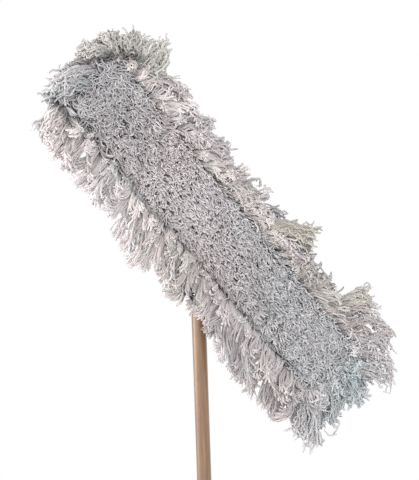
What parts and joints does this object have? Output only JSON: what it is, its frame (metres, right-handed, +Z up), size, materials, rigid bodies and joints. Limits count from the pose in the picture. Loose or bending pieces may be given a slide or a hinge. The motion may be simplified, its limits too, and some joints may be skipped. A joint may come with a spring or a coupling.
{
  "type": "dust mop",
  "caption": "Commercial dust mop: cut-end cotton yarn slip-on head on a wire frame, sprung clip and swivelling, tilting yoke on a long round wooden pole.",
  "frame": {"origin": "on the pole's axis at its butt, where the straight wall starts above the rounded end", "axes": "+Z up the pole towards the head, -Y out of the yarn face, +Y out of the back of the head"},
  "size_m": [0.5868, 0.091, 1.8818],
  "materials": {
    "lacquered_wood": "clear lacquer",
    "zinc_steel": "zinc plated",
    "spring_steel": "oiled",
    "cotton_canvas": "woven",
    "twill_tape": "woven",
    "cotton_yarn": "cut-end twisted yarn"
  },
  "bodies": {
    "handle": {"wood_handle": "lacquered_wood", "handle_socket": "zinc_steel", "socket_rivets": "zinc_steel", "pivot_tongue": "zinc_steel", "tongue_rivet": "zinc_steel"},
    "yoke": {"swivel_yoke": "zinc_steel", "tilt_pin": "zinc_steel", "tilt_washers": "zinc_steel", "swivel_washer": "zinc_steel"},
    "head": {"swivel_rivet": "zinc_steel", "clip_base": "zinc_steel", "latch_pin": "zinc_steel", "latch_spring": "spring_steel", "centre_saddle": "zinc_steel", "frame_wire": "zinc_steel", "canvas_backing": "cotton_canvas", "pocket_left": "cotton_canvas", "pocket_right": "cotton_canvas", "mouth_tapes": "twill_tape", "edge_binding": "twill_tape", "yarn_pile": "cotton_yarn", "fringe_leading": "cotton_yarn", "fringe_trailing": "cotton_yarn", "fringe_left_end": "cotton_yarn", "fringe_right_end": "cotton_yarn"},
    "latch": {"latch_lever": "zinc_steel"}
  },
  "joints": [
    {"name": "head_tilt", "type": "hinge", "parent": "handle", "child": "yoke", "pos_m": [0, 0, 1.5801], "axis": [-1, 0, 0], "range_deg": [0, 180]},
    {"name": "head_swivel", "type": "hinge", "parent": "yoke", "child": "head", "pos_m": [0, -0.032, 1.5801], "axis": [0, -1, 0], "continuous": true},
    {"name": "latch_press", "type": "hinge", "parent": "head", "child": "latch", "pos_m": [0.02243, -0.0284, 1.55337], "axis": [0.766, 0, 0.6428], "range_deg": [0, 26], "stiffness_Nm_per_rad": 0.08, "springref_deg": -28.65, "deforming": ["latch_spring"]}
  ]
}
